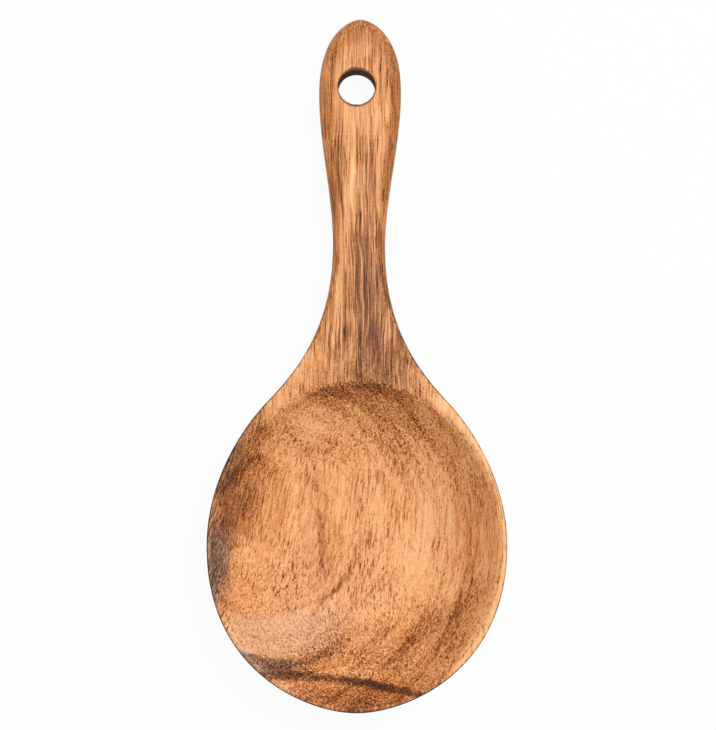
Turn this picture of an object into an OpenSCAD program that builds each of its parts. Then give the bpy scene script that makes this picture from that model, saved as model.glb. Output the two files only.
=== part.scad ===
// Short wooden serving spoon, carved from a single blank: a broad bowl with a
// level rim, and a flat-faced handle with a hanging hole.
// Lengths are in millimetres. X is the width, Y runs from the front of the bowl
// to the end of the handle, and Z is up. The spoon is worked out with its face
// level and then tipped to lie on a table, on its bowl and its handle's end.

/* [Outline] */
// Length from the front of the bowl to the end of the handle
spoon_length = 180; // [174:1:190]
// Width of the bowl where it is widest
bowl_width = 77.3; // [72:0.1:84]
// From the front of the bowl to where it is widest
widest_y = 42.8; // [39:0.1:46]
// From the front of the bowl to the shoulders, where the outline is steepest
shoulder_y = 79; // [76:0.5:82]
// Width across the shoulders
shoulder_width = 48; // [44:0.5:54]
// Angle of the outline at the shoulders, away from the spoon's own line
shoulder_angle = 42.7; // [36:0.1:50]
// From the front of the bowl to the neck, where the handle is narrowest
neck_y = 120.3; // [114:0.1:126]
// Width of the neck
neck_width = 13.6; // [12:0.1:18]
// From the front of the bowl to where the handle is widest
grip_y = 160.5; // [154:0.1:163]
// Width of the handle where it is widest
grip_width = 21.4; // [18:0.1:25]

/* [Curves] */
// Reach of the bowl's front curve, as a share of half its width
front_share = 0.32; // [0.25:0.01:0.5]
// Reach of the curve in front of the bowl's widest place, as a share of that stretch
widest_front_share = 0.76; // [0.6:0.01:0.8]
// Reach of the curve behind the bowl's widest place, as a share of that stretch
widest_back_share = 0.54; // [0.4:0.01:0.65]
// Reach of the curve in front of the shoulders, as a share of that stretch
shoulder_front_share = 0.1; // [0.05:0.01:0.3]
// Reach of the curve behind the shoulders, as a share of that stretch
shoulder_back_share = 0.225; // [0.1:0.005:0.35]
// Reach of the curve in front of the neck, as a share of that stretch
neck_front_share = 0.57; // [0.45:0.01:0.65]
// Reach of the handle's side curve at both ends, as a share of its length
handle_side_share = 0.33; // [0.2:0.01:0.45]
// Reach of the curve behind the handle's widest place, as a share of that stretch
grip_back_share = 0.9; // [0.6:0.01:0.92]
// Reach of the curve across the handle's end, as a share of half its width
end_share = 0.12; // [0.1:0.01:0.5]

/* [Hollow] */
// Width of the rim at the front of the bowl
rim_front = 2; // [1.6:0.1:5]
// Width of the rim beside the hollow
rim_side = 1.8; // [1.6:0.1:5]
// Length of the hollow
hollow_length = 82.6; // [76:0.1:84]
// Depth of the hollow below the rim
hollow_depth = 14.4; // [8:0.1:15]
// How the hollow deepens inwards, where 2 is a ball's cap and more has a flatter floor
hollow_power = 3.5; // [2:0.1:5]

/* [Underside] */
// Depth of the bowl from its face to its lowest place
bowl_depth = 19; // [18:0.5:26]
// Thickness of the neck
neck_depth = 10.8; // [9:0.1:14]
// Thickness of the handle where it is widest
grip_depth = 11.2; // [9:0.1:14]
// Fullness of the bowl's outside, where 2 is an ellipse
bowl_fullness = 2.1; // [1.8:0.05:2.6]
// Fullness of the handle's underside, where 2 is an ellipse
handle_fullness = 2.2; // [1.8:0.05:2.8]

/* [Edges] */
// Rounding of the rim's outer edge
rim_round = 0.6; // [0.3:0.1:1]
// Rounding of the handle's upper edges
handle_round = 3.2; // [1:0.1:4]
// From the front of the bowl to where the handle's rounding starts
handle_round_y = 90; // [84:0.5:100]

/* [Hanging hole] */
// Diameter of the hole
hole_d = 9.7; // [5:0.1:11]
// From the handle's end to the middle of the hole
hole_from_end = 18.1; // [15:0.1:24]
// How far the hole was drilled to the right of the handle's middle
hole_right = -0.9; // [-1.5:0.1:1.5]

/* [Detail] */
// Points along each of the outline's curves
curve_steps = 12; // [8:1:16]
// Points across each rounded upper edge
edge_steps = 4; // [2:1:6]
// Rings in the hollow
hollow_steps = 12; // [8:1:16]
// Rows from the edge to the middle of the underside
under_steps = 12; // [8:1:16]

/* [Hidden] */

// How far the hole's cutter runs past the wood
overrun = 1;
// Sides of the hole's cutter in a preview
hole_facets = 64;
// Share of the bowl's front half over which the underside's ribs spread
front_spread_share = 0.16;
// Where the ribs of the handle's rounded end meet, as a share of its width
end_foot_share = 0.33;
// Share of the shoulder curve that has the hollow beside it
hollow_back_share = 0.6;

function clamped(u) = min(max(u, 0), 1);
function eased(u) = let (c = clamped(u)) c * c * (3 - 2 * c);
function mixed(a, b, u) = a + (b - a) * u;

// The right half of the outline is a chain of curves through its named points
front_point = [0, 0];
widest_point = [bowl_width / 2, widest_y];
shoulder_point = [shoulder_width / 2, shoulder_y];
neck_point = [neck_width / 2, neck_y];
grip_point = [grip_width / 2, grip_y];
end_point = [0, spoon_length];

along = [0, 1];
shoulder_line = [-sin(shoulder_angle), cos(shoulder_angle)];
front_run = widest_y;
back_run = shoulder_y - widest_y;
shoulder_run = neck_y - shoulder_y;
handle_run = grip_y - neck_y;
end_run = spoon_length - grip_y;

curves = [
    [front_point,
     front_point + [front_share * bowl_width / 2, 0],
     widest_point - along * widest_front_share * front_run,
     widest_point],
    [widest_point,
     widest_point + along * widest_back_share * back_run,
     shoulder_point - shoulder_line * shoulder_front_share * back_run,
     shoulder_point],
    [shoulder_point,
     shoulder_point + shoulder_line * shoulder_back_share * shoulder_run,
     neck_point - along * neck_front_share * shoulder_run,
     neck_point],
    [neck_point,
     neck_point + along * handle_side_share * handle_run,
     grip_point - along * handle_side_share * handle_run,
     grip_point],
    [grip_point,
     grip_point + along * grip_back_share * end_run,
     end_point + [end_share * grip_width / 2, 0],
     end_point]
];
last_curve = len(curves) - 1;

// Place and direction on a cubic curve with the four control points c
function on_curve(c, t) =
    pow(1 - t, 3) * c[0] + 3 * pow(1 - t, 2) * t * c[1]
    + 3 * (1 - t) * t * t * c[2] + pow(t, 3) * c[3];
function curve_run(c, t) =
    pow(1 - t, 2) * (c[1] - c[0]) + 2 * (1 - t) * t * (c[2] - c[1])
    + t * t * (c[3] - c[2]);

// Stations are counted along the right half, from the bowl's front to the end
half_count = curve_steps * len(curves);
function curve_of(k) = min(floor(k / curve_steps), last_curve);
function share_of(k) = k / curve_steps - curve_of(k);
half_outline = [for (k = [0 : half_count]) on_curve(curves[curve_of(k)], share_of(k))];

// Each station has a rib to a foot on the middle line: square to the outline along
// the sides, drawn together in the bowl's front and in the handle's rounded end
end_foot_y = spoon_length - end_foot_share * grip_width;
function square_foot_y(p, run) = p.y + p.x * run.x / run.y;
function foot_y(k) =
    curve_of(k) == 0
    ? mixed(widest_y, half_outline[k].y, front_spread_share)
    : curve_of(k) == last_curve
    ? mixed(end_foot_y, grip_y, pow(1 - share_of(k), 2))
    : square_foot_y(half_outline[k], curve_run(curves[curve_of(k)], share_of(k)));
feet = [for (k = [0 : half_count]) [0, foot_y(k)]];

// Thickness below the face along the middle line, and the fullness beside it
function handle_share(y) = eased((y - widest_y) / (neck_y - widest_y));
function keel_depth(y) =
    y < neck_y
    ? mixed(bowl_depth, neck_depth, handle_share(y))
    : mixed(neck_depth, grip_depth, eased((y - neck_y) / (grip_y - neck_y)));
function fullness(y) = mixed(bowl_fullness, handle_fullness, handle_share(y));
function edge_round(y) =
    mixed(rim_round, handle_round, eased((y - handle_round_y) / (neck_y - handle_round_y)));

// A quarter turn of a full ellipse, as shares inward and downward
function quarter(turn, full) = [1 - pow(cos(turn), 2 / full), pow(sin(turn), 2 / full)];

// The lip is an ellipse, and the hollow's rings shrink from it to one low point
hollow_middle_y = rim_front + hollow_length / 2;
hollow_half = [bowl_width / 2 - rim_side, hollow_length / 2];
lip_count = 2 * curve_steps + round(hollow_back_share * curve_steps);
function lip_turn(k) =
    k < curve_steps
    ? -90 * (1 - k / curve_steps)
    : 90 * (k - curve_steps) / (lip_count - curve_steps);
function hollow_point(k, inward) =
    [hollow_half.x * cos(lip_turn(k)) * (1 - inward),
     hollow_middle_y + hollow_half.y * sin(lip_turn(k)) * (1 - inward)];
function face_inner(k) = k < lip_count ? hollow_point(k, 0) : k == lip_count
    ? [0, hollow_middle_y + hollow_half.y] : feet[k];

// Stations run right round the outline: up the right side and back down the left
ring_count = 2 * half_count;
function half_of(j) = j <= half_count ? j : ring_count - j;
function side_of(j) = j <= half_count ? 1 : -1;
function placed(j, p, z) = [side_of(j) * p.x, p.y, z];
function toward_foot(k, distance) =
    let (rib = feet[k] - half_outline[k]) half_outline[k] + rib * distance / norm(rib);

// One row for each step from the middle of the face, over the edge, to the keel
function face_row() = [for (j = [0 : ring_count - 1]) placed(j, face_inner(half_of(j)), 0)];
function edge_row(turn) = [for (j = [0 : ring_count - 1])
    let (k = half_of(j), r = edge_round(half_outline[k].y))
    placed(j, toward_foot(k, r * (1 - cos(turn))), -r * (1 - sin(turn)))];
function under_row(turn) = [for (j = [0 : ring_count - 1])
    let (k = half_of(j), y = feet[k].y, r = edge_round(half_outline[k].y),
         q = quarter(turn, fullness(y)))
    placed(j, mixed(half_outline[k], feet[k], q.x), -mixed(r, keel_depth(y), q.y))];

rows = concat(
    [face_row()],
    [for (i = [edge_steps : -1 : 0]) edge_row(90 * i / edge_steps)],
    [for (i = [1 : under_steps]) under_row(90 * i / under_steps)]
);
last_row = len(rows) - 1;

// Both sides share their points on the middle line of the face and of the keel
function on_middle(row, j) =
    j > half_count && (row == last_row || row == 0 && half_of(j) >= lip_count);
function row_index(row, j) =
    let (i = j % ring_count) row * ring_count + (on_middle(row, i) ? half_of(i) : i);

// Rings of the hollow, from just inside the lip to the point in the middle
lip_ring = 2 * lip_count;
function lip_station(i) = i <= lip_count ? i : ring_count - (lip_ring - i);
function hollow_row(inward) = [for (i = [0 : lip_ring - 1])
    let (j = lip_station(i), depth_share = 1 - pow(1 - inward, hollow_power))
    placed(j, hollow_point(half_of(j), inward), -hollow_depth * depth_share)];
hollow_start = (last_row + 1) * ring_count;
hollow_last = hollow_steps - 1;
low_point = hollow_start + hollow_last * lip_ring;
function hollow_index(ring, i) =
    ring == 0
    ? row_index(0, lip_station(i % lip_ring))
    : hollow_start + (ring - 1) * lip_ring + i % lip_ring;

level_points = concat(
    [for (row = rows) each row],
    [for (i = [1 : hollow_last]) each hollow_row(i / hollow_steps)],
    [[0, hollow_middle_y, -hollow_depth]]
);

// A four-sided patch is two triangles that meet on its shorter diagonal
function between(a, b) = norm(level_points[a] - level_points[b]);
function patch(a, b, c, d) =
    between(a, c) < between(b, d) ? [[a, b, c], [a, c, d]] : [[a, b, d], [b, c, d]];
surface = concat(
    [for (row = [0 : last_row - 1]) for (j = [0 : ring_count - 1])
        each patch(row_index(row, j), row_index(row, j + 1),
                   row_index(row + 1, j + 1), row_index(row + 1, j))],
    [for (ring = [0 : hollow_last - 1]) for (i = [0 : lip_ring - 1])
        each patch(hollow_index(ring, i), hollow_index(ring + 1, i),
                   hollow_index(ring + 1, i + 1), hollow_index(ring, i + 1))],
    [for (i = [0 : lip_ring - 1])
        [hollow_index(hollow_last, i), low_point, hollow_index(hollow_last, i + 1)]]
);

// The spoon lies on the lowest line that touches both the bowl and the handle
function keel_line(from, to) = [for (row = rows) for (k = [from : to]) if (row[k].x == 0) row[k]];
bowl_keel = keel_line(0, lip_count);
handle_keel = keel_line(half_count - curve_steps, half_count);
function slope_to(h) = max([for (b = bowl_keel) (h.z - b.z) / (h.y - b.y)]);
lying_angle = atan(min([for (h = handle_keel) slope_to(h)]));
function lying(p) =
    [p.x, p.y * cos(lying_angle) + p.z * sin(lying_angle),
     p.z * cos(lying_angle) - p.y * sin(lying_angle)];
lying_points = [for (p = level_points) lying(p)];
lying_y = [for (p = lying_points) p.y];
lying_z = [for (p = lying_points) p.z];

// The origin is on the table, under the middle of the spoon's length
origin = [0, (min(lying_y) + max(lying_y)) / 2, min(lying_z)];

// Everything carved with the knife: the outline, the hollow and the rounded underside
module carved_wood() {
    polyhedron(points = level_points, faces = surface, convexity = 4);
}

// Hole drilled square through the handle's face
module hanging_hole() {
    translate([hole_right, spoon_length - hole_from_end, -grip_depth - overrun])
        cylinder(h = grip_depth + 2 * overrun, d = hole_d, $fn = hole_facets);
}

module spoon() {
    color("peru")
        translate(-origin)
            rotate([-lying_angle, 0, 0])
                difference() {
                    carved_wood();
                    hanging_hole();
                }
}

spoon();
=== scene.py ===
# A short wooden serving spoon of oiled acacia, lying face up on a white studio table
import math
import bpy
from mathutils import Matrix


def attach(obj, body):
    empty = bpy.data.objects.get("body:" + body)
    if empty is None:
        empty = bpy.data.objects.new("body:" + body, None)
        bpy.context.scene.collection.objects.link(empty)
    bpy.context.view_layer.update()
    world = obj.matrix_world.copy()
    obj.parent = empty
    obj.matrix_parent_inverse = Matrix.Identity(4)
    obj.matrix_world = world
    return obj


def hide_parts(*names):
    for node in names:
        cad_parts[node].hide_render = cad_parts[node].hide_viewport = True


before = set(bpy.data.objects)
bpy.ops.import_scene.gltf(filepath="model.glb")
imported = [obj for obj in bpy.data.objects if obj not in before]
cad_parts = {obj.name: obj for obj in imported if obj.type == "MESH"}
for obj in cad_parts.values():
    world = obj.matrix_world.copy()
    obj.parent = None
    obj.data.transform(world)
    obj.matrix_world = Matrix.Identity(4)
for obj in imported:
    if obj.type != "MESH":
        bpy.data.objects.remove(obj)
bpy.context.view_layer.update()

from types import SimpleNamespace
from typing import NamedTuple

import bmesh
import bpy
import numpy as np
from bpy.props import FloatProperty, FloatVectorProperty, IntProperty, PointerProperty
from mathutils import Vector

bl_info = {
    "name": "Wooden spoon",
    "version": (1, 0, 0),
    "blender": (4, 5, 0),
    "location": "3D View > Sidebar > Spoon",
    "description": "Carves a short wooden serving spoon and sets it on a white table",
    "category": "Add Mesh",
}


# Kinds of property


def length(label, note, metres):
    """A length in metres."""
    return FloatProperty(name=label, description=note, default=metres, unit="LENGTH", precision=4)


def share(label, note, value):
    """A share of another length."""
    return FloatProperty(name=label, description=note, default=value, subtype="FACTOR")


def number(label, note, value):
    """A plain number."""
    return FloatProperty(name=label, description=note, default=value)


def count(label, note, value):
    """A whole number of steps."""
    return IntProperty(name=label, description=note, default=value, min=2)


def angle(label, note, degrees):
    """An angle, given in degrees and kept in radians."""
    return FloatProperty(
        name=label, description=note, default=math.radians(degrees), subtype="ANGLE"
    )


def colour(label, note, red, green, blue):
    """A colour as a picture shows it, given in steps of 255."""
    return FloatVectorProperty(
        name=label, description=note, size=3, min=0, max=1, subtype="COLOR_GAMMA",
        default=(red / 255, green / 255, blue / 255),
    )


class SpoonSizes(bpy.types.PropertyGroup):
    """Lengths of the spoon"""

    spoon_length: length("Length", "From the front of the bowl to the end of the handle", 0.180)
    bowl_width: length("Bowl width", "Width of the bowl where it is widest", 0.0773)
    widest_y: length("Widest place", "From the bowl's front to where it is widest", 0.0428)
    shoulder_y: length("Shoulders", "From the bowl's front to the shoulders", 0.079)
    shoulder_width: length("Shoulder width", "Width across the shoulders", 0.048)
    shoulder_angle: angle("Shoulder angle", "Outline's angle to the spoon's line there", 42.7)
    neck_y: length("Neck", "From the bowl's front to the neck", 0.1203)
    neck_width: length("Neck width", "Width of the handle where it is narrowest", 0.0136)
    grip_y: length("Grip", "From the bowl's front to where the handle is widest", 0.1605)
    grip_width: length("Grip width", "Width of the handle where it is widest", 0.0214)
    rim_front: length("Front rim", "Width of the rim at the bowl's front", 0.002)
    rim_side: length("Side rim", "Width of the rim beside the hollow", 0.0018)
    hollow_length: length("Hollow length", "Length of the hollow", 0.0826)
    hollow_depth: length("Hollow depth", "Depth of the hollow below the rim", 0.0144)
    bowl_depth: length("Bowl depth", "From the bowl's face to its lowest place", 0.019)
    neck_depth: length("Neck thickness", "Thickness of the neck", 0.0108)
    grip_depth: length("Grip thickness", "Thickness of the handle's widest place", 0.0112)
    rim_round: length("Rim rounding", "Rounding of the rim's outer edge", 0.0006)
    handle_round: length("Handle rounding", "Rounding of the handle's upper edges", 0.0032)
    handle_round_y: length("Rounding start", "From the bowl's front to where it grows", 0.090)
    lip_round: length("Lip rounding", "How far the hollow's lip is sanded back", 0.0011)
    hole_width: length("Hole width", "Diameter of the hanging hole", 0.0097)
    hole_from_end: length("Hole place", "From the handle's end to the hole's middle", 0.0181)
    hole_right: length("Hole offset", "How far the hole is right of the middle", -0.0009)
    hole_round: length("Hole rounding", "Sanded rounding of the hole's edges", 0.0004)


class SpoonCurves(bpy.types.PropertyGroup):
    """Reach of the outline's curves, fullness of the forms and steps of the mesh"""

    front: share("Bowl front", "Reach as a share of half the bowl's width", 0.32)
    widest_front: share("Before the widest place", "Reach as a share of that stretch", 0.76)
    widest_back: share("Behind the widest place", "Reach as a share of that stretch", 0.54)
    shoulder_front: share("Before the shoulders", "Reach as a share of that stretch", 0.1)
    shoulder_back: share("Behind the shoulders", "Reach as a share of that stretch", 0.225)
    neck_front: share("Before the neck", "Reach as a share of that stretch", 0.57)
    handle_side: share("Handle side", "Reach at both ends as a share of its length", 0.33)
    grip_back: share("Behind the grip", "Reach as a share of that stretch", 0.9)
    end: share("Handle end", "Reach as a share of half the grip's width", 0.12)
    front_spread: share("Front ribs", "Share of the front half that its ribs spread over", 0.16)
    end_foot: share("End ribs", "Where the end's ribs meet, as a share of its width", 0.33)
    hollow_back: share("Hollow back", "Share of the shoulder curve beside the hollow", 0.6)
    hollow_power: number("Hollow", "2 is a ball's cap, more has a flatter floor", 3.5)
    bowl_fullness: number("Bowl fullness", "2 is an ellipse, more is fuller", 2.1)
    handle_fullness: number("Handle fullness", "2 is an ellipse, more is fuller", 2.2)
    curve_steps: count("Outline steps", "Stations on each of the outline's curves", 48)
    face_steps: count("Face steps", "Rows across the face", 4)
    edge_steps: count("Edge steps", "Rows across each rounded edge", 8)
    under_steps: count("Underside steps", "Rows from the edge to the keel", 56)
    hollow_steps: count("Hollow steps", "Rings from the lip to the low point", 56)


class SpoonColours(bpy.types.PropertyGroup):
    """Colours of the oiled acacia"""

    cream: colour("Cream", "Palest wood", 254, 199, 142)
    tan: colour("Tan", "Most of the wood", 242, 170, 111)
    honey: colour("Honey", "Middle growth layers", 214, 140, 82)
    brown: colour("Brown", "Darker growth layers", 163, 96, 45)
    umber: colour("Umber", "Heartwood streaks", 116, 61, 24)
    smoke: colour("Smoke", "Darkest heartwood and pores", 76, 43, 23)
    greyness: share("Greyness", "How far the smokiest places go to grey", 0.75)


class StudioSettings(bpy.types.PropertyGroup):
    """Camera, lamps and table"""

    camera_height: length("Camera height", "Height of the lens above the table", 0.62)
    camera_x: length("Camera right", "How far the lens is to the right", -0.00005)
    camera_y: length("Camera back", "How far the lens is towards the handle", -0.0006)
    camera_roll: angle("Camera roll", "Turn of the camera about its own line", 0.4)
    lens: number("Lens", "Focal length in millimetres on a 36 mm frame", 115.4)
    table: colour("Table", "Colour of the white table", 246, 246, 246)


# Numbers that the shapes share: the last of the outline's five curves, a quarter turn,
# and how close points are welded, or lie to the middle line to be on it

LAST_CURVE = 4
QUARTER = math.pi / 2
WELD = 1e-6
ON_MIDDLE = 1e-9


def eased(u):
    """Rises from 0 to 1 as 3 u^2 - 2 u^3, and is level outside."""
    c = np.clip(u, 0, 1)
    return c * c * (3 - 2 * c)


def mixed(a, b, u):
    """a + (b - a) u."""
    return a + (b - a) * u


def outline_curves(size, reach):
    """Right half of the outline: five cubic curves, each as its start, two controls and end.

    A control lies at the named reach from its end, along the outline's direction there."""
    front = np.array([0.0, 0.0])
    widest = np.array([size.bowl_width / 2, size.widest_y])
    shoulder = np.array([size.shoulder_width / 2, size.shoulder_y])
    neck = np.array([size.neck_width / 2, size.neck_y])
    grip = np.array([size.grip_width / 2, size.grip_y])
    end = np.array([0.0, size.spoon_length])
    across = np.array([1.0, 0.0])
    along = np.array([0.0, 1.0])
    steep = np.array([-math.sin(size.shoulder_angle), math.cos(size.shoulder_angle)])
    back_run = size.shoulder_y - size.widest_y
    shoulder_run = size.neck_y - size.shoulder_y
    handle_run = size.grip_y - size.neck_y
    end_run = size.spoon_length - size.grip_y
    return np.array([
        [front, front + across * reach.front * widest[0],
         widest - along * reach.widest_front * size.widest_y, widest],
        [widest, widest + along * reach.widest_back * back_run,
         shoulder - steep * reach.shoulder_front * back_run, shoulder],
        [shoulder, shoulder + steep * reach.shoulder_back * shoulder_run,
         neck - along * reach.neck_front * shoulder_run, neck],
        [neck, neck + along * reach.handle_side * handle_run,
         grip - along * reach.handle_side * handle_run, grip],
        [grip, grip + along * reach.grip_back * end_run,
         end + across * reach.end * grip[0], end],
    ])


def stations(size, reach):
    """Stations along the right half of the outline, from the bowl's front to the end.

    On a curve with the points A, B, C and D, the place at share t is
    (1-t)^3 A + 3 (1-t)^2 t B + 3 (1-t) t^2 C + t^3 D, and its direction is the slope of that,
    (1-t)^2 (B-A) + 2 (1-t) t (C-B) + t^2 (D-C)."""
    curves = outline_curves(size, reach)
    along = np.linspace(0, len(curves), len(curves) * reach.curve_steps + 1)
    curve = np.minimum(along.astype(int), LAST_CURVE)
    t = (along - curve)[:, None]
    a, b, c, d = (curves[curve, i] for i in range(4))
    place = (1 - t) ** 3 * a + 3 * (1 - t) ** 2 * t * b + 3 * (1 - t) * t * t * c + t ** 3 * d
    run = (1 - t) ** 2 * (b - a) + 2 * (1 - t) * t * (c - b) + t * t * (d - c)
    return curve, t[:, 0], place, run


def rib_feet(size, reach, curve, t, place, run):
    """Where each station's rib meets the middle line.

    Along the sides a rib is square to the outline, so its foot is at y + x dx/dy. In the
    bowl's front the feet spread over a share of the front half, and in the handle's rounded
    end they close up on one point as the square of what is left of the curve."""
    x, y = place.T
    dx, dy = run.T
    slope = np.divide(dx, dy, out=np.zeros_like(dx), where=dy != 0)
    end_foot = size.spoon_length - reach.end_foot * size.grip_width
    foot = y + x * slope
    foot = np.where(curve == 0, mixed(size.widest_y, y, reach.front_spread), foot)
    return np.where(curve == LAST_CURVE, mixed(end_foot, size.grip_y, (1 - t) ** 2), foot)


def hole_span(size, foot):
    """First and last station of the hole, whose feet are moved onto the hole's edge.

    The edge crosses the middle line at the hole's middle, less and more the root of its
    radius squared less its offset squared."""
    middle = size.spoon_length - size.hole_from_end
    edge = size.hole_width / 2 + size.hole_round
    reach = math.sqrt(edge ** 2 - size.hole_right ** 2)
    first = np.searchsorted(foot, middle - reach) - 1
    last = np.searchsorted(foot, middle + reach)
    foot[first] = middle - reach
    foot[last] = middle + reach
    return first, last


def wood_share(size, side, place, foot, first, last):
    """Share of each rib, from the outline inwards, that is wood and not hole.

    A rib from P to F leaves the wood where it first meets the hole's circle: the smaller
    root s of |P + s (F - P) - middle|^2 = radius^2."""
    middle = np.array([side * size.hole_right, size.spoon_length - size.hole_from_end])
    radius = size.hole_width / 2 + size.hole_round
    way = foot - place
    start = place - middle
    a = (way ** 2).sum(axis=1)
    b = 2 * (way * start).sum(axis=1)
    c = (start ** 2).sum(axis=1) - radius ** 2
    inside = np.arange(len(foot))
    inside = (inside > first) & (inside < last)
    root = np.sqrt(np.where(inside, b * b - 4 * a * c, 0))
    return np.where(inside, (-b - root) / (2 * a + WELD ** 2), 1)


def half_spoon(size, reach, side):
    """Stations, feet, edge rounding, depth and fullness of one half of the spoon."""
    curve, t, place, run = stations(size, reach)
    foot_y = rib_feet(size, reach, curve, t, place, run)
    first, last = hole_span(size, foot_y)
    foot = np.stack([np.zeros_like(foot_y), foot_y], axis=1)
    rib = foot - place
    to_handle = eased((foot_y - size.widest_y) / (size.neck_y - size.widest_y))
    to_grip = eased((foot_y - size.neck_y) / (size.grip_y - size.neck_y))
    to_round = eased((place[:, 1] - size.handle_round_y) / (size.neck_y - size.handle_round_y))
    return SimpleNamespace(
        side=side, place=place, foot=foot, first=first, last=last,
        inward=rib / np.linalg.norm(rib, axis=1)[:, None],
        wood=wood_share(size, side, place, foot, first, last),
        round=mixed(size.rim_round, size.handle_round, to_round),
        depth=np.where(foot_y < size.neck_y,
                       mixed(size.bowl_depth, size.neck_depth, to_handle),
                       mixed(size.neck_depth, size.grip_depth, to_grip)),
        fullness=mixed(reach.bowl_fullness, reach.handle_fullness, to_handle),
        lip_count=2 * reach.curve_steps + round(reach.hollow_back * reach.curve_steps),
    )


def lip_ring(size, reach, half, grown):
    """The lip, an ellipse grown by a length, at the stations beside the hollow.

    Its turn runs from -90 degrees at the bowl's front to 0 at the widest station, and on to
    90 at the hollow's back."""
    steps = np.arange(half.lip_count + 1)
    front = -QUARTER * (1 - steps / reach.curve_steps)
    back = QUARTER * (steps - reach.curve_steps) / (half.lip_count - reach.curve_steps)
    turn = np.where(steps < reach.curve_steps, front, back)
    across = size.bowl_width / 2 - size.rim_side + grown
    along = size.hollow_length / 2 + grown
    middle = size.rim_front + size.hollow_length / 2
    ring = np.stack([across * np.cos(turn), along * np.sin(turn)], axis=1)
    return ring, np.array([0, middle])


def raised(plan, down):
    """Points of a plan, each a length down from the face."""
    down = np.broadcast_to(down, plan.shape[:-1])
    return np.concatenate([plan, -down[..., None]], axis=-1)


def face_rows(size, reach, half):
    """Level rows of the face, from the lip, hole or middle line out to the rounded edge.

    Each is the share u of the way from the inner border to the outline less its rounding."""
    inner = mixed(half.place, half.foot, half.wood[:, None])
    ring, middle = lip_ring(size, reach, half, size.lip_round)
    inner[:half.lip_count + 1] = ring + middle
    outer = half.place + half.inward * half.round[:, None]
    u = np.linspace(0, 1, reach.face_steps + 1)[:, None, None]
    return raised(mixed(inner, outer, u), 0)


def edge_rows(reach, half):
    """Quarter-round rows from the face to the outline.

    At turn a from 90 degrees to 0 a row lies r (1 - cos a) inwards and r (1 - sin a) down."""
    turn = np.linspace(QUARTER, 0, reach.edge_steps + 1)[1:, None]
    inwards = half.round * (1 - np.cos(turn))
    plan = half.place + half.inward * inwards[..., None]
    return raised(plan, half.round * (1 - np.sin(turn)))


def under_rows(reach, half):
    """Rows of the underside, from the outline to the keel or the hole.

    At turn a a row lies the share 1 - cos(a)^(2/f) along its rib and the share
    sin(a)^(2/f) of the way down to the keel. A rib that meets the hole ends at the turn
    whose share along the rib is the rib's wood."""
    power = 2 / half.fullness
    last_turn = np.arccos(np.clip(1 - half.wood, 0, 1) ** (1 / power))
    turn = np.linspace(0, 1, reach.under_steps + 1)[1:, None] * last_turn
    inwards = 1 - np.clip(np.cos(turn), 0, 1) ** power
    plan = mixed(half.place, half.foot, inwards[..., None])
    return raised(plan, mixed(half.round, half.depth, np.sin(turn) ** power))


def hollow_rows(size, reach, half):
    """Rings of the hollow from its low point up to the wall, then over the sanded lip.

    At the share u of the way out a ring is the lip shrunk to u, at 1 - u^p of the depth.
    The sanded lip is the parabola (1-t)^2 A + 2 (1-t) t B + t^2 C, from the last ring A past
    the sharp lip B to the rim C."""
    ring, middle = lip_ring(size, reach, half, 0)
    rim, middle = lip_ring(size, reach, half, size.lip_round)
    last = 1 - size.lip_round / (size.bowl_width / 2)
    u = np.linspace(0, last, reach.hollow_steps + 1)[:, None]
    rings = raised(ring * u[..., None] + middle,
                   size.hollow_depth * (1 - u ** reach.hollow_power))
    t = np.linspace(0, 1, reach.edge_steps + 1)[1:, None, None]
    lip = ((1 - t) ** 2 * rings[-1] + 2 * (1 - t) * t * raised(ring + middle, 0)
           + t * t * raised(rim + middle, 0))
    return np.concatenate([rings, lip])


def hole_rows(size, reach, half, top, bottom):
    """Rows down the hole: a quarter round, the straight wall and a second quarter round.

    A row stands off the drilled wall by r (1 - sin a) above and r (1 - cos a) below, and
    lies r (1 - cos a) under the face or r (1 - sin a) over the underside."""
    middle = np.array([half.side * size.hole_right, size.spoon_length - size.hole_from_end])
    outward = top[:, :2] - middle
    outward /= np.linalg.norm(outward, axis=1)[:, None]
    turn = np.linspace(0, QUARTER, reach.edge_steps + 1)[:, None]
    off = size.hole_round * np.concatenate([1 - np.sin(turn), 1 - np.cos(turn)])
    plan = middle + outward * (size.hole_width / 2 + off)[..., None]
    upper = size.hole_round * (1 - np.cos(turn)) + 0 * bottom[:, 2]
    lower = -bottom[:, 2] - size.hole_round * (1 - np.sin(turn))
    return raised(plan, np.concatenate([upper, lower]))


def sheet(points, start, flip):
    """Quads between the neighbours of a grid whose points are numbered from start."""
    rows, columns = points.shape[:2]
    index = start + np.arange(rows * columns).reshape(rows, columns)
    corners = [index[:-1, :-1], index[1:, :-1], index[1:, 1:], index[:-1, 1:]]
    if flip:
        corners.reverse()
    return np.stack(corners, axis=-1).reshape(-1, 4)


def half_sheets(size, reach, side):
    """The grids that cover one half of the spoon, each with whether it is turned over."""
    half = half_spoon(size, reach, side)
    face = face_rows(size, reach, half)
    under = under_rows(reach, half)
    skin = np.concatenate([face, edge_rows(reach, half), under])
    span = slice(half.first, half.last + 1)
    hole = hole_rows(size, reach, half, face[0, span], under[-1, span])
    hollow = hollow_rows(size, reach, half)
    turned = side < 0
    sheets = [(skin, turned), (hollow, turned), (hole, not turned)]
    return [(grid * [side, 1, 1], flip) for grid, flip in sheets]


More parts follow.
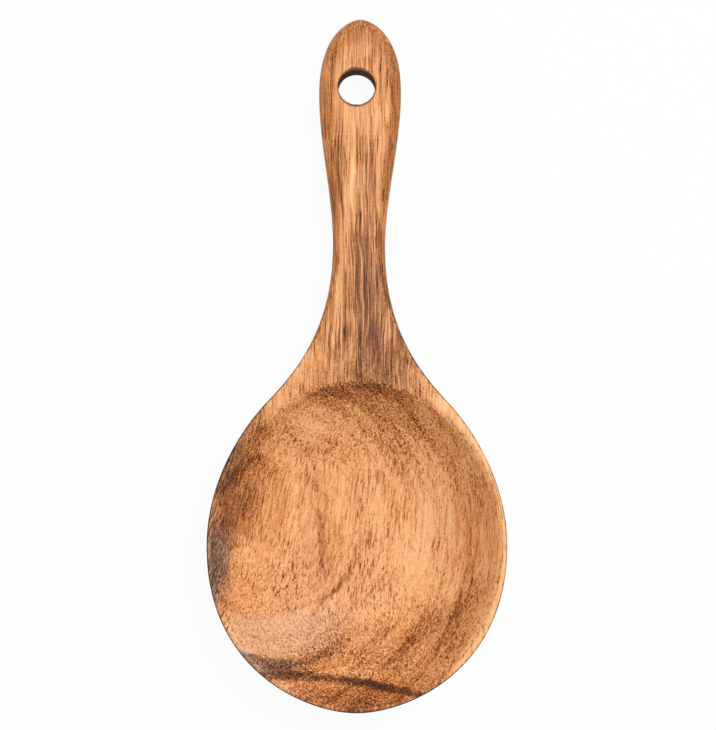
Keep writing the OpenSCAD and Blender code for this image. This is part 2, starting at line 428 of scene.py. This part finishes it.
def lying_angle(size, points):
    """Angle of the lowest line that touches both the bowl and the handle's end.

    For each place on the handle's keel, the steepest line down to the bowl's keel is the
    one that clears it, and the least steep of those rests on both."""
    keel = points[np.abs(points[:, 0]) < ON_MIDDLE]
    bowl = keel[keel[:, 1] < size.shoulder_y]
    handle = keel[keel[:, 1] > size.grip_y]
    rise = handle[:, None, 2] - bowl[None, :, 2]
    slope = rise / (handle[:, None, 1] - bowl[None, :, 1])
    return math.atan(slope.max(axis=1).min())


def laid_down(size, points):
    """The spoon tipped by its lying angle, on the table under the middle of its length."""
    tip = lying_angle(size, points)
    x, y, z = points.T
    along = y * math.cos(tip) + z * math.sin(tip)
    up = z * math.cos(tip) - y * math.sin(tip)
    along -= (along.min() + along.max()) / 2
    return np.stack([x, along, up - up.min()], axis=1)


def spoon_mesh(size, reach):
    """The whole spoon as one closed mesh, with the seams of its sheets welded."""
    points, faces, start = [], [], 0
    for side in (1, -1):
        for grid, flip in half_sheets(size, reach, side):
            faces.append(sheet(grid, start, flip))
            points.append(grid.reshape(-1, 3))
            start += len(points[-1])
    placed = laid_down(size, np.concatenate(points))
    mesh = bpy.data.meshes.new("Carved_spoon")
    mesh.from_pydata(placed.tolist(), [], np.concatenate(faces).tolist())
    welded = bmesh.new()
    welded.from_mesh(mesh)
    bmesh.ops.remove_doubles(welded, verts=welded.verts, dist=WELD)
    welded.to_mesh(mesh)
    welded.free()
    mesh.shade_smooth()
    return mesh


# Shader nodes written as Python


def linear(shown):
    """A colour as a picture shows it, as the light it stands for.

    That is c / 12.92 up to 0.04045, and ((c + 0.055) / 1.055)^2.4 above."""
    shown = np.array(shown)
    low = shown / 12.92
    high = ((shown + 0.055) / 1.055) ** 2.4
    return (*np.where(shown <= 0.04045, low, high).tolist(), 1.0)


class Wire:
    """A node's output. Each of Python's operators on it adds one Math node."""

    def __init__(self, finish, socket):
        self.finish = finish
        self.socket = socket

    def output(self, name):
        """Another output of the same node."""
        return Wire(self.finish, self.socket.node.outputs[name])

    def __add__(self, other):
        return self.finish.maths("ADD", self, other)

    def __radd__(self, other):
        return self.finish.maths("ADD", other, self)

    def __sub__(self, other):
        return self.finish.maths("SUBTRACT", self, other)

    def __rsub__(self, other):
        return self.finish.maths("SUBTRACT", other, self)

    def __mul__(self, other):
        return self.finish.maths("MULTIPLY", self, other)

    def __truediv__(self, other):
        return self.finish.maths("DIVIDE", self, other)

    def __pow__(self, other):
        return self.finish.maths("POWER", self, other)


class Finish:
    """A material and its nodes."""

    def __init__(self, name):
        self.material = bpy.data.materials.new(name)
        self.material.use_nodes = True
        self.tree = self.material.node_tree
        self.tree.nodes.clear()

    def node(self, kind, sockets, result=0, **settings):
        """Adds a node: its settings first, then a value or a wire for each socket."""
        made = self.tree.nodes.new(kind)
        for setting, value in settings.items():
            if setting == "stops":
                self.set_stops(made.color_ramp.elements, value)
            else:
                setattr(made, setting, value)
        for socket, value in sockets.items():
            if isinstance(value, Wire):
                self.tree.links.new(value.socket, made.inputs[socket])
            else:
                made.inputs[socket].default_value = value
        return Wire(self, made.outputs[result]) if made.outputs else None

    def set_stops(self, elements, stops):
        """Gives a colour ramp a place and a colour for each stop."""
        while len(elements) < len(stops):
            elements.new(1.0)
        for element, (place, shown) in zip(elements, stops):
            element.position = place
            element.color = linear(shown)

    def maths(self, operation, first, second):
        """One Math node."""
        return self.node("ShaderNodeMath", {0: first, 1: second}, operation=operation)

    def joined(self, x, y, z):
        """A vector from three values."""
        return self.node("ShaderNodeCombineXYZ", {0: x, 1: y, 2: z})

    def noise(self, x, y, z, detail=2.0, roughness=0.5):
        """Smooth noise about 0.5, one wave to each unit of x, y and z."""
        sockets = {"Vector": self.joined(x, y, z), "Scale": 1.0, "Detail": detail,
                   "Roughness": roughness}
        return self.node("ShaderNodeTexNoise", sockets)

    def step(self, value, low, high):
        """Rises smoothly from 0 at low to 1 at high."""
        sockets = {"Value": value, "From Min": low, "From Max": high}
        return self.node("ShaderNodeMapRange", sockets, interpolation_type="SMOOTHSTEP")

    def blend(self, under, over, amount):
        """One colour over another by an amount."""
        sockets = {0: amount, 6: under, 7: over}
        return self.node("ShaderNodeMix", sockets, result=2, data_type="RGBA")

    def surface(self, shader):
        """Ends the nodes with the shader that the surface shows."""
        self.node("ShaderNodeOutputMaterial", {"Surface": shader})
        return self.material


class Streak(NamedTuple):
    """A streak of darker or paler colour, seen from above, in millimetres: most are the wood's
    own, a few are painted shade and painted highlights.

    It runs from start to end along the spoon, or across it where turned is true. Its middle
    is at middle + lean s + bend s^2, and its half width at width + flare s, where s is the
    way past its start. It fades in and out over the length fade, and has its full strength
    over the share core of its width. Smoke is how grey it is."""

    start: float
    end: float
    middle: float
    lean: float
    bend: float
    width: float
    flare: float
    fade: float
    strength: float
    smoke: float = 0.0
    core: float = 0.2
    turned: bool = False


STREAKS = (
    # Heartwood between the shoulders, over the neck and up the handle's face
    Streak(-13, 28, 4.0, -0.04, 0.0, 20.0, -0.32, 10, 0.22, 0.08, core=0.6),
    Streak(-12, 42, 5.2, -0.07, 0.0, 6.4, -0.03, 10, 0.18, 0.08),
    Streak(18, 64, 0.9, 0.03, 0.0, 6.0, -0.06, 10, 0.21, 0.05),
    Streak(-13, 5, 12.5, 0.0, 0.0, 4.6, 0.0, 6, 0.13),
    Streak(-20, -6, 22.0, 0.0, 0.0, 4.0, 0.0, 6, 0.06),
    Streak(-12, 14, -11.5, 0.10, 0.0, 5.0, 0.0, 8, 0.10),
    # Pale gaps in that heartwood, on the neck and between the shoulders
    Streak(8, 24, -2.0, 0.0, 0.0, 2.4, 0.0, 6, -0.08),
    Streak(-8, 8, -2.0, 0.0, 0.0, 3.0, 0.0, 6, -0.06),
    # Dark strips up both sides of the handle's face, a pale one between them, and a painted
    # highlight
    Streak(22, 46, -6.4, 0.0, 0.0, 2.2, 0.0, 6, 0.10),
    Streak(36, 88, -6.0, 0.0, 0.0, 3.4, 0.0, 10, 0.17),
    Streak(38, 92, 9.8, 0.0, 0.0, 3.2, 0.0, 8, 0.07),
    Streak(50, 80, 6.2, 0.0, 0.0, 3.6, 0.0, 8, -0.06),
    # Painted highlight: a pale spot of sheen on the middle of the handle's face
    Streak(38, 54, -2.6, 0.0, 0.0, 1.7, 0.0, 5, -0.16),
    # Dark heartwood high on the left wall, down the wall, and its smoky lower end
    Streak(-51, -6, -30.5, 0.05, 0.0, 8.2, 0.0, 12, 0.25, 0.03, core=0.3),
    Streak(-68, -12, -38.6, 0.13, 0.0, 6.0, 0.0, 14, 0.15, 0.20),
    Streak(-65, -38, -36.4, 0.0, 0.0, 4.4, 0.0, 10, 0.17, 0.45),
    # Vein across the bowl's front and its dark middle
    Streak(-34, 27, -79.5, -0.06, -0.0009, 1.4, 0.0, 14, 0.27, 0.10, core=0.3, turned=True),
    Streak(-17, 13, -80.5, -0.03, -0.0035, 1.4, 0.0, 7, 0.20, 0.10, core=0.3, turned=True),
    # Smoky patch behind the vein's left end, and the brown behind and before the vein
    Streak(-41, -10, -70.0, -0.66, 0.0125, 3.1, -0.03, 9, 0.26, 0.42, core=0.5, turned=True),
    Streak(-17, 12, -77.2, 0.0, 0.0, 3.8, 0.0, 7, 0.11, turned=True),
    Streak(-34, 30, -89.0, 0.0, 0.0, 10.0, 0.0, 10, 0.26, turned=True),
    # Brown front of the floor
    Streak(-20, 18, -71.5, 0.0, 0.0, 8.0, 0.0, 12, 0.13, turned=True),
    # Brown up the right wall, sharp-edged inside: partly a brown layer, partly painted shade
    Streak(-66, -18, 28.4, 0.0, 0.0, 4.6, 0.0, 12, 0.10, core=0.7),
    # Smoky band low on the right, and the brown that it lies in
    Streak(15, 36, -72.3, 0.85, 0.0, 5.0, 0.0, 7, 0.12, 0.06, turned=True),
    Streak(4, 38, -84.0, 0.80, 0.0, 9.5, 0.0, 12, 0.13, turned=True),
    # Brown under the arch of the lip, and down the wall to its right: partly dark wood, partly
    # painted shade on these walls, which face away from the light
    Streak(-12, 11, -6.5, 0.0, -0.030, 2.4, 0.0, 8, 0.10, turned=True),
    Streak(6, 30, -12.4, -0.14, -0.034, 3.8, 0.0, 8, 0.10, turned=True),
    Streak(0, 34, -11.5, -0.06, -0.013, 6.5, 0.0, 12, 0.08, turned=True),
    # Soft brown arc through the middle of the floor, and two growth lines in it
    Streak(-74, -20, -12.5, 0.50, -0.011, 5.4, 0.0, 14, 0.15),
    Streak(-69, -46, -17.4, 1.65, -0.0405, 1.1, 0.0, 6, 0.12, core=0.3),
    Streak(-70, -52, -11.8, 1.45, -0.030, 1.0, 0.0, 6, 0.08, core=0.3),
    # Cream right of the middle, high and low on the right wall, and left of the middle
    Streak(-64, -26, 13.5, 0.0, 0.0, 9.5, 0.0, 14, -0.12),
    Streak(-34, -8, 30.5, 0.0, 0.0, 5.5, 0.0, 9, -0.12),
    Streak(-66, -50, 25.0, 0.0, 0.0, 10.0, 0.0, 7, -0.07),
    Streak(-46, -10, -14.0, 0.0, 0.0, 6.5, 0.0, 12, -0.09),
    Streak(-23, -7, -12.5, 0.0, 0.0, 6.0, 0.0, 6, -0.08),
    Streak(-71, -46, -26.0, 0.0, 0.0, 7.0, 0.0, 7, -0.10),
    # Painted sheen: pale grey low on the left wall, where the oil's gloss catches the light
    Streak(-38, 0, -71.0, 0.0, 0.0, 9.0, 0.0, 12, -0.02, 0.28, turned=True),
)
# How far the edges of a streak along the spoon wander, and of a turned one
STREAK_WANDER = 5
TURNED_WANDER = 1.2


class Mark(NamedTuple):
    """One kind of mark that the fibres leave, as noise drawn out along them.

    Across and along are its waves to a millimetre, and short is how much its marks shorten
    where the fibres dip. Its weights are its strength on level wood, and what is added on
    walls that lean along the spoon and on the handle."""

    across: float
    along: float
    short: float = 0.0
    detail: float = 1.0
    roughness: float = 0.5
    weights: tuple = (0.0, 0.0, 0.0)


FIBRES = Mark(1.0, 0.035, detail=2.0, roughness=0.6, weights=(0.12, 0.0, 0.22))
THREADS = Mark(2.2, 0.03, weights=(0.40, 0.0, 0.65))
GRAIN = Mark(2.6, 0.12, short=0.002, detail=1.5, roughness=0.7, weights=(0.70, 0.5, 0.3))
PORES = Mark(3.0, 0.20, short=0.002)
HAIRS = Mark(2.0, 0.06)

# Slow noises that bend, roughen and crowd the rest: waves across and along
SLOW = {"sway": (0.035, 0.016), "drift": (0.09, 0.05), "ragged": (0.30, 0.05),
        "crowd": (0.12, 0.06)}
# Growth layers: their rise across and up, their sway, the waves of their tones, lines
# and rings, and the strength of their lines as in a mark's weights
LAYER_RISE = (0.62, 0.78)
LAYER_SWAY = 10
TONE_WAVES = (0.20, 0.008)
TONE_PLANE = 3.0
LINE_WAVES = (0.85, 0.012)
LINE_PLANE = 7.0
LINE_ROUGHNESS = 0.65
LINE_WEIGHTS = (0.20, 0.4, 0.15)
RING_WAVES = 0.26
RING_TONE = 3
RING_EDGES = (0.45, 0.95, 1.0)
# Arcs of growth lines in the bowl: the middle that they curve round, their waves across
# and along, how they wander, the noise that they darken over, the mean that is taken
# off, and where they fade in
ARC_MIDDLE = (-19.0, -44.0)
ARC_WAVES = (0.42, 0.035)
ARC_DRIFT = 4
ARC_RAGGED = 0.6
ARC_EDGES = (0.46, 0.62)
ARC_MEAN = 0.34
ARC_RIGHT = (-27, -8)
ARC_FRONT = (-56, -68)
# Specks where the wood is cut across: waves each way, and strength as in a mark's weights
SPECK_WAVES = (2.8, 2.0)
SPECK_WEIGHTS = (0.50, 1.6, -0.2)
# Noise above which a pore and a hair-like groove show, how far a crowd lowers it, and a
# groove's depth as a share of a pore's
PORE_EDGES = (0.63, 0.70)
PORE_CROWD = 0.45
HAIR_EDGES = (0.62, 0.67)
HAIR_CROWD = 0.3
HAIR_DEPTH = 1.1
# Share that a wall facing the handle has of the slant of one that faces the front, and
# how much less of the end grain the handle shows
BACK_SLANT = 0.55
END_GRAIN_CALM = 0.8
# Tilt of the handle's face, which the fibres share, and the face's height at the origin
FACE_TILT = 0.0618
FACE_HEIGHT = 16.33
# Where the fibres start to dip towards the bowl's front, and to lean to its left
DIP_START = 20.0
DIP = 0.0007
LEAN_START = -14.0
LEAN = (0.12, 0.004)
FIBRE_SWAY = 4
FIBRE_DRIFT = 2.4
# Where the bowl gives way to the handle, and the handle to its head, along the spoon,
# and how much calmer the grain is on the head
HANDLE_START = (-10, 10)
HEAD_START = (44, 66)
HEAD_CALM = 0.28
# Half width of the handle's flat face at the neck, what it gains to the head and where,
# how it flares to the shoulders, and where its end rounds off
FACE_HALF = (6.8, 3.9)
FACE_WIDENS = (30, 70)
FACE_FLARE = 0.0103
FACE_END = (70.0, 19.5)
# The handle's sides, where shade is painted: how ragged their border is, the share of that
# half width where they start, and from where along the spoon. Then how far below the face
# they start anyway, from where, and how much calmer the grain is on them
SIDE_RAGGED = 0.4
SIDE_EDGES = (0.60, 0.84)
SIDE_START = (8, 26)
SIDE_DEPTH = (0.04, 0.5)
SIDE_DEPTH_START = (-14, 2)
SIDE_CALM = 0.5
# The lip's middle and half lengths, where the rim lies outside them as a share of their
# square, how far down its outer edge the line of painted shade goes, and where the rim has a
# painted highlight
LIP_MIDDLE = -46.3
LIP_REACH = (36.9, 41.4)
RIM_EDGES = (1.0, 1.06)
RIM_SHADE_TOP = (0.01, 0.09)
RIM_SHADE_BOTTOM = (3.0, 0.8)
RIM_HIGHLIGHT = (6, 30)
# The hanging hole, and where its drilled wall starts
HOLE_PLACE = (-0.9, 71.5)
HOLE_REACH = (5.15, 4.95)
# How much each of these darkens the wood. The handle's sides and the rim's outer edge get painted
# shade this way, and the rim's right a painted highlight
DARKENS = SimpleNamespace(
    base=0.23, handle=0.03, tone=0.4, ring=0.05, arc=0.13, pore=0.20, end_grain=0.22,
    side=0.17, outer_rim_shade=0.45, rim_highlight=-0.15,
)
# Share of smoke in the hole's wall, how rough the wood is and what adds to that, the
# bump with the grain's share of its height, and the gloss of the oil
BORE_SMOKE = 0.7
ROUGHNESS = SimpleNamespace(oiled=0.40, fibre=0.12, pore=0.15, bore=0.45)
BUMP = {"Strength": 0.25, "Distance": 0.0002}
GRAIN_HEIGHT = 0.5
GLOSS = 0.22
# How light red, green and blue look, and millimetres to a metre
LIGHTNESS = (0.30, 0.59, 0.11)
TO_MILLIMETRES = 1000.0


def greyed(stops, greyness):
    """Stops whose colours go the share greyness of the way to a grey as light as they are."""
    colours = np.array([shown for place, shown in stops])
    greys = (colours @ LIGHTNESS)[:, None]
    return [(place, shown) for (place, old), shown
            in zip(stops, mixed(colours, greys, greyness).tolist())]


def blank_places(wood):
    """Where each place lies in the blank of wood, in millimetres, and how it faces.

    Up is the height of the fibre that runs through it. The fibres are level with the
    handle's face, dip towards the bowl's front as the square of the way there, and lean
    to the left as they go."""
    place = wood.node("ShaderNodeTexCoord", {}, result="Object")
    millimetres = wood.node("ShaderNodeVectorMath", {0: place, "Scale": TO_MILLIMETRES},
                            operation="SCALE")
    x = wood.node("ShaderNodeSeparateXYZ", {0: millimetres})
    y, z = x.output("Y"), x.output("Z")
    facing = wood.node("ShaderNodeSeparateXYZ", {0: place.output("Normal")}, result="Y")
    ahead = wood.maths("MAXIMUM", DIP_START - y, 0.0)
    dip = ahead * ahead
    up = z + y * FACE_TILT + dip * DIP
    slow = {name: wood.noise(x * across, y * along, up * across) - 0.5
            for name, (across, along) in SLOW.items()}
    lean = wood.maths("MAXIMUM", LEAN_START - y, 0.0) * (LEAN[0] - x * LEAN[1])
    return SimpleNamespace(
        x=x, y=y, z=z, dip=dip, up=up, facing=facing, **slow,
        grain_x=x + lean + slow["sway"] * FIBRE_SWAY + slow["drift"] * FIBRE_DRIFT,
        handle=wood.step(y, *HANDLE_START),
        slant=wood.maths("MAXIMUM", 0.0 - facing, facing * BACK_SLANT),
        below=FACE_HEIGHT - y * FACE_TILT - z,
    )


def away(across, along):
    """Length of the line to a place, from how far across and along it is."""
    return (across * across + along * along) ** 0.5


def weighed(at, noise, weights):
    """Noise about 0, by its strength on level wood, on leaning walls and on the handle."""
    level, slant, handle = weights
    return (noise - 0.5) * (at.slant * slant + at.handle * handle + level)


def drawn_out(wood, at, mark):
    """A mark's noise, which is fine across the fibres and long along them."""
    along = at.y * mark.along - at.dip * mark.short
    return wood.noise(at.grain_x * mark.across, along, at.up * mark.across,
                      detail=mark.detail, roughness=mark.roughness)


def growth_layers(wood, at):
    """Darkness of the layers' broad tones and dark rings, and the noise of their lines."""
    layer = at.x * LAYER_RISE[0] + at.up * LAYER_RISE[1] + at.sway * LAYER_SWAY
    tone = wood.noise(layer * TONE_WAVES[0], at.y * TONE_WAVES[1], TONE_PLANE)
    lines = wood.noise(layer * LINE_WAVES[0], at.y * LINE_WAVES[1], LINE_PLANE,
                       detail=3.0, roughness=LINE_ROUGHNESS)
    ring = wood.maths("FRACT", layer * RING_WAVES + tone * RING_TONE, 0.0)
    start, dark, end = RING_EDGES
    ring = wood.step(ring, start, dark) * wood.step(ring, end, dark)
    return (tone - 0.5) * DARKENS.tone + ring * DARKENS.ring, lines


def growth_arcs(wood, at):
    """Darkness of the growth lines that the hollow cuts into arcs, in the bowl alone."""
    round_middle = away(at.x - ARC_MIDDLE[0], at.y - ARC_MIDDLE[1])
    growth = round_middle + at.drift * ARC_DRIFT + at.ragged * ARC_RAGGED
    across, along = ARC_WAVES
    arc = wood.noise(growth * across, at.x * along, at.y * along,
                     detail=2.0, roughness=LINE_ROUGHNESS)
    seen = wood.maths("MAXIMUM", wood.step(at.x, *ARC_RIGHT), wood.step(at.y, *ARC_FRONT))
    arc = (wood.step(arc, *ARC_EDGES) - ARC_MEAN) * seen
    return arc * (1.0 - at.handle) * DARKENS.arc


def specks(wood, at):
    """Noise with no direction, which shows where the fibres are cut across."""
    across, along = SPECK_WAVES
    return wood.noise(at.x * across, at.y * along + at.z, at.up * across, detail=1.0)


def open_pores(wood, at):
    """How deep each place lies in a short pore or a long hair-like groove."""
    pore = drawn_out(wood, at, PORES) + at.crowd * PORE_CROWD
    hair = drawn_out(wood, at, HAIRS) + at.crowd * HAIR_CROWD
    return wood.step(pore, *PORE_EDGES) + wood.step(hair, *HAIR_EDGES) * HAIR_DEPTH


def handle_sides(wood, at):
    """How far each place is on the handle's rounded sides and end, and not on its face. Shade is
    painted there.
    """
    flare = wood.maths("MAXIMUM", FACE_WIDENS[0] - at.y, 0.0)
    half = wood.step(at.y, *FACE_WIDENS) * FACE_HALF[1] + flare * flare * FACE_FLARE
    back = wood.maths("MAXIMUM", at.y - FACE_END[0], 0.0) / FACE_END[1]
    side = away(at.x / (half + FACE_HALF[0]), back) + at.ragged * SIDE_RAGGED
    side = wood.step(side, *SIDE_EDGES) * wood.step(at.y, *SIDE_START)
    under = wood.step(at.below, *SIDE_DEPTH) * wood.step(at.y, *SIDE_DEPTH_START)
    return wood.maths("MAXIMUM", side, under)


def rim_shade_and_highlight(wood, at):
    """Painted light on the rim: painted shade as a dark line down its outer edge, and a painted
    highlight on its right.
    """
    aside, back = at.x / LIP_REACH[0], (at.y - LIP_MIDDLE) / LIP_REACH[1]
    rim = wood.step(aside * aside + back * back, *RIM_EDGES) * (1.0 - at.handle)
    # Painted shade down the rim's outer edge, and a painted highlight on its right side
    outer = wood.step(at.below, *RIM_SHADE_TOP) * wood.step(at.below, *RIM_SHADE_BOTTOM)
    return rim * (outer * DARKENS.outer_rim_shade + wood.step(at.x, *RIM_HIGHLIGHT) * DARKENS.rim_highlight)


def streak_mask(wood, at, streak):
    """How much of a streak each place has, from 0 to 1."""
    along, across = (at.x, at.y) if streak.turned else (at.y, at.x)
    s = along - streak.start
    rough = at.ragged * (TURNED_WANDER if streak.turned else STREAK_WANDER)
    off = across + rough - (streak.middle + s * streak.lean + s * s * streak.bend)
    edge = (off * off) ** 0.5 / (streak.width + s * streak.flare)
    length_left = streak.end - streak.start
    ends = wood.step(s, 0, streak.fade) * wood.step(s, length_left, length_left - streak.fade)
    return wood.step(edge, 1.0, streak.core) * ends


def streak_tones(wood, at):
    """Darkness and greyness of all the streaks, from smoke-grey wood and from a painted sheen."""
    darkness, smoke_and_sheen = 0.0, 0.0
    for streak in STREAKS:
        mask = streak_mask(wood, at, streak)
        darkness = darkness + mask * streak.strength
        if streak.smoke:
            smoke_and_sheen = smoke_and_sheen + mask * streak.smoke
    return darkness, smoke_and_sheen


def wood_colour(wood, shade, darkness, smoke_and_sheen):
    """Colour for a darkness, and greyer in smoke-grey heartwood and under a painted sheen."""
    stops = ((0.0, shade.cream), (0.25, shade.tan), (0.42, shade.honey),
             (0.62, shade.brown), (0.80, shade.umber), (1.0, shade.smoke))
    plain = wood.node("ShaderNodeValToRGB", {0: darkness}, stops=stops)
    grey = wood.node("ShaderNodeValToRGB", {0: darkness}, stops=greyed(stops, shade.greyness))
    return wood.blend(plain, grey, smoke_and_sheen)


def acacia(shade):
    """Oiled acacia: growth layers tilted across the blank, heartwood streaks, fibres, pores.

    Darkness adds up from all of them, and from painted shade and painted highlights on the
    handle's sides, the rim and in some streaks; a ramp turns it into colour, from cream to
    smoke. The pores are pits, and the drilled wall of the hole is dark and rough."""
    wood = Finish("Oiled_acacia")
    at = blank_places(wood)
    darkness, lines = growth_layers(wood, at)
    fibre, thread, grain = (drawn_out(wood, at, mark) for mark in (FIBRES, THREADS, GRAIN))
    side = handle_sides(wood, at)
    pore = open_pores(wood, at)
    streaks, smoke_and_sheen = streak_tones(wood, at)

    calm = (1.0 - side * SIDE_CALM) * (1.0 - wood.step(at.y, *HEAD_START) * HEAD_CALM)
    fine = weighed(at, lines, LINE_WEIGHTS) + weighed(at, fibre, FIBRES.weights)
    fine = fine + weighed(at, thread, THREADS.weights) + weighed(at, grain, GRAIN.weights)
    end_grain = at.facing * at.facing * (1.0 - at.handle * END_GRAIN_CALM)
    darkness = darkness + growth_arcs(wood, at) + rim_shade_and_highlight(wood, at) + streaks + fine * calm
    darkness = darkness + weighed(at, specks(wood, at), SPECK_WEIGHTS) + pore * DARKENS.pore
    # Painted shade on the handle's rounded sides and end, which turn away from the light above
    darkness = darkness + end_grain * DARKENS.end_grain + side * DARKENS.side
    darkness = darkness + at.handle * DARKENS.handle + DARKENS.base

    bore = wood.step(away(at.x - HOLE_PLACE[0], at.y - HOLE_PLACE[1]), *HOLE_REACH)
    ground = wood_colour(wood, shade, darkness, smoke_and_sheen)
    ground = wood.blend(ground, linear(shade.smoke), bore * BORE_SMOKE)
    height = 0.0 - grain * GRAIN_HEIGHT - pore
    bump = wood.node("ShaderNodeBump", {"Height": height, **BUMP})
    roughness = ROUGHNESS.oiled + fibre * ROUGHNESS.fibre + pore * ROUGHNESS.pore
    roughness = roughness + bore * ROUGHNESS.bore
    shader = wood.node("ShaderNodeBsdfPrincipled",
                       {"Base Color": ground, "Roughness": roughness, "Normal": bump,
                        "Specular IOR Level": GLOSS})
    return wood.surface(shader)


def white_table(shade):
    """A table that is seen nearly pure white, in reflections too, with a faint shadow."""
    paint = Finish("White_table")
    camera = paint.node("ShaderNodeLightPath", {}, result="Is Camera Ray")
    mirrored = paint.maths("MAXIMUM", camera.output("Is Glossy Ray"),
                           camera.output("Is Transmission Ray"))
    seen = paint.maths("MAXIMUM", camera, mirrored)
    matt = paint.node("ShaderNodeBsdfDiffuse", {"Color": linear(shade)})
    glow = paint.node("ShaderNodeEmission", {"Color": (1, 1, 1, 1), "Strength": 1.0})
    shader = paint.node("ShaderNodeMixShader", {0: seen * TABLE_GLOW, 1: matt, 2: glow})
    return paint.surface(shader)


# Studio

# Each lamp's name, place, width in metres and power in watts
LAMPS = (
    ("Key_lamp", (0.40, 0.42, 1.30), 0.6, 14.0),
    ("Fill_lamp", (-0.6, -0.4, 1.2), 0.8, 1.0),
)
# Strength of the even light, share of the table that glows, and half of its width
AMBIENT = 0.35
TABLE_GLOW = 0.94
TABLE_HALF = 4.0
# Width of the camera's frame in millimetres, and the nearest thing it sees in metres
FRAME_WIDTH = 36
NEAREST = 0.01


def add_lamp(name, place, width, power):
    """A square area lamp that faces the middle of the table."""
    light = bpy.data.lights.new(name, "AREA")
    light.size = width
    light.energy = power
    lamp = bpy.data.objects.new(name, light)
    lamp.location = place
    lamp.rotation_euler = (-Vector(place)).to_track_quat("-Z", "Y").to_euler()
    bpy.context.collection.objects.link(lamp)


def add_table(shade):
    """A flat square of white table top."""
    corners = np.array([(-1, -1, 0), (1, -1, 0), (1, 1, 0), (-1, 1, 0)]) * TABLE_HALF
    mesh = bpy.data.meshes.new("Table_top")
    mesh.from_pydata(corners.tolist(), [], [(0, 1, 2, 3)])
    mesh.materials.append(white_table(shade))
    table = bpy.data.objects.new("Table_top", mesh)
    bpy.context.collection.objects.link(table)
    return table


def add_surroundings():
    """Even white light from all sides."""
    world = bpy.data.worlds.new("White_studio")
    world.use_nodes = True
    background = world.node_tree.nodes["Background"]
    background.inputs["Color"].default_value = (1, 1, 1, 1)
    background.inputs["Strength"].default_value = AMBIENT
    bpy.context.scene.world = world


def add_camera(studio):
    """A camera straight above the table, looking down."""
    data = bpy.data.cameras.new("Overhead_camera")
    data.type = "PERSP"
    data.sensor_width = FRAME_WIDTH
    data.lens = studio.lens
    data.clip_start = NEAREST
    camera = bpy.data.objects.new("Overhead_camera", data)
    camera.location = (studio.camera_x, studio.camera_y, studio.camera_height)
    camera.rotation_euler = (0, 0, studio.camera_roll)
    bpy.context.collection.objects.link(camera)
    bpy.context.scene.camera = camera


class SPOON_OT_carve(bpy.types.Operator):
    """Carve the spoon and finish it with oil"""

    bl_idname = "spoon.carve"
    bl_label = "Carve the spoon"

    def execute(self, context):
        scene = context.scene
        mesh = spoon_mesh(scene.spoon_sizes, scene.spoon_curves)
        mesh.materials.append(acacia(scene.spoon_colours))
        spoon = bpy.data.objects.new("Carved_spoon", mesh)
        context.collection.objects.link(spoon)
        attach(spoon, "root")
        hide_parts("spoon")
        return {"FINISHED"}


class SPOON_OT_studio(bpy.types.Operator):
    """Set up the white table, the lamps and the camera"""

    bl_idname = "spoon.studio"
    bl_label = "Set up the studio"

    def execute(self, context):
        studio = context.scene.spoon_studio
        add_table(studio.table)
        add_surroundings()
        for lamp in LAMPS:
            add_lamp(*lamp)
        add_camera(studio)
        context.scene.view_settings.view_transform = "Standard"
        return {"FINISHED"}


class SPOON_PT_workshop(bpy.types.Panel):
    """Sizes, curves, colours and studio of the spoon"""

    bl_idname = "SPOON_PT_workshop"
    bl_label = "Wooden spoon"
    bl_space_type = "VIEW_3D"
    bl_region_type = "UI"
    bl_category = "Spoon"

    def draw(self, context):
        scene = context.scene
        groups = (scene.spoon_sizes, scene.spoon_curves, scene.spoon_colours,
                  scene.spoon_studio)
        for group in groups:
            box = self.layout.box()
            box.label(text=group.bl_rna.description)
            for name in group.__annotations__:
                box.prop(group, name)
        self.layout.operator(SPOON_OT_carve.bl_idname)
        self.layout.operator(SPOON_OT_studio.bl_idname)


GROUPS = {
    "spoon_sizes": SpoonSizes,
    "spoon_curves": SpoonCurves,
    "spoon_colours": SpoonColours,
    "spoon_studio": StudioSettings,
}
CLASSES = (*GROUPS.values(), SPOON_OT_carve, SPOON_OT_studio, SPOON_PT_workshop)


def register():
    for made in CLASSES:
        bpy.utils.register_class(made)
    for name, group in GROUPS.items():
        setattr(bpy.types.Scene, name, PointerProperty(type=group))


def unregister():
    for name in GROUPS:
        delattr(bpy.types.Scene, name)
    for made in reversed(CLASSES):
        bpy.utils.unregister_class(made)


def main():
    """Makes the spoon and its studio."""
    register()
    bpy.ops.spoon.carve()
    bpy.ops.spoon.studio()


if __name__ == "__main__":
    main()
